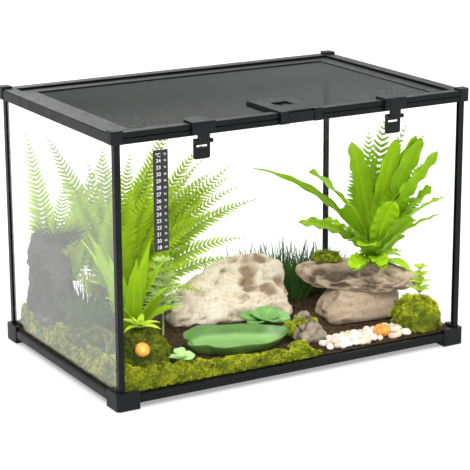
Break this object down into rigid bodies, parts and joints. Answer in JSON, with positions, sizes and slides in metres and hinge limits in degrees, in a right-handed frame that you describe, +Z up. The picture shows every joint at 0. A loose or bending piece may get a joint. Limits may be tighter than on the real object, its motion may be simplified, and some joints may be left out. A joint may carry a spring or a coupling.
{
  "type": "reptile terrarium",
  "caption": "Furnished glass terrarium with black corner frames, a sliding mesh lid with lever clips and a lock flap, planted with rocks, moss, ferns and a leaf-shaped dish.",
  "frame": {"origin": "on the floor under the middle of the whole object's box", "axes": "+Z up, +Y from the front pane with the clips to the back pane, +X to the right seen from the front"},
  "size_m": [0.52, 0.3421, 0.3501],
  "materials": {
    "glass": "clear float glass",
    "silicone": "cured silicone",
    "frame_plastic": "satin moulded",
    "lid_plastic": "satin moulded",
    "mesh_steel": "coated wire",
    "spline": "soft cord",
    "clip_plastic": "satin moulded",
    "pin_steel": "drawn wire",
    "strip_film": "printed film",
    "soil": "loose soil",
    "tan_rock": "rough sandstone",
    "grey_rock": "rough stone",
    "moss": "dry moss",
    "cream_pebble": "tumbled",
    "orange_stone": "polished",
    "dish_plastic": "semi gloss moulded",
    "blue_leaf": "waxy leaf",
    "yellow_leaf": "leaf",
    "green_leaf": "leaf"
  },
  "bodies": {
    "tank": {"bottom_glass": "glass", "front_glass": "glass", "back_glass": "glass", "left_glass": "glass", "right_glass": "glass", "silicone_seals": "silicone", "corner_post_front_left": "frame_plastic", "corner_post_front_right": "frame_plastic", "corner_post_back_left": "frame_plastic", "corner_post_back_right": "frame_plastic", "base_rail_front": "frame_plastic", "base_rail_back": "frame_plastic", "base_rail_left": "frame_plastic", "base_rail_right": "frame_plastic", "foot_front_left": "frame_plastic", "foot_front_right": "frame_plastic", "foot_back_left": "frame_plastic", "foot_back_right": "frame_plastic", "top_rail_front": "frame_plastic", "top_rail_back": "frame_plastic", "top_rail_left": "frame_plastic", "top_rail_right": "frame_plastic", "top_corner_front_left": "frame_plastic", "top_corner_front_right": "frame_plastic", "top_corner_back_left": "frame_plastic", "top_corner_back_right": "frame_plastic", "thermometer_strip": "strip_film", "bedding": "soil", "rock_slab": "tan_rock", "rock_ledge": "grey_rock", "rock_boulder": "grey_rock", "rock_small": "grey_rock", "rock_column": "grey_rock", "moss_left": "moss", "moss_front": "moss", "moss_right": "moss", "moss_ledge": "moss", "pebbles": "cream_pebble", "orange_stones": "orange_stone", "fern": "green_leaf", "birds_nest_fern": "green_leaf", "strap_leaf_plant": "green_leaf", "succulent_rosette": "blue_leaf", "small_plants": "yellow_leaf"},
    "lid": {"lid_rail_front": "lid_plastic", "lid_rail_back": "lid_plastic", "lid_rail_left": "lid_plastic", "lid_rail_right": "lid_plastic", "lid_mesh": "mesh_steel", "mesh_spline": "spline", "lock_housing": "clip_plastic", "latch_pin": "pin_steel", "clip_cap_left": "clip_plastic", "clip_cap_right": "clip_plastic", "clip_pin_left": "pin_steel", "clip_pin_right": "pin_steel"},
    "latch_flap": {"latch_flap": "clip_plastic"},
    "clip_lever_left": {"clip_lever_left": "clip_plastic"},
    "clip_lever_right": {"clip_lever_right": "clip_plastic"},
    "water_dish": {"water_dish": "dish_plastic"}
  },
  "joints": [
    {"name": "lid_slide", "type": "slide", "parent": "tank", "child": "lid", "axis": [0, -1, 0], "range_m": [0, 0.3]},
    {"name": "latch_flap_hinge", "type": "hinge", "parent": "lid", "child": "latch_flap", "pos_m": [0, -0.1708, 0.3453], "axis": [-1, 0, 0], "range_deg": [0, 90]},
    {"name": "clip_left_hinge", "type": "hinge", "parent": "lid", "child": "clip_lever_left", "pos_m": [-0.138, -0.1694, 0.3255], "axis": [-1, 0, 0], "range_deg": [0, 100]},
    {"name": "clip_right_hinge", "type": "hinge", "parent": "lid", "child": "clip_lever_right", "pos_m": [0.141, -0.1694, 0.3255], "axis": [-1, 0, 0], "range_deg": [0, 100]},
    {"name": "dish_lift", "type": "slide", "parent": "tank", "child": "water_dish", "axis": [0, 0, 1], "range_m": [0, 0.12]}
  ]
}
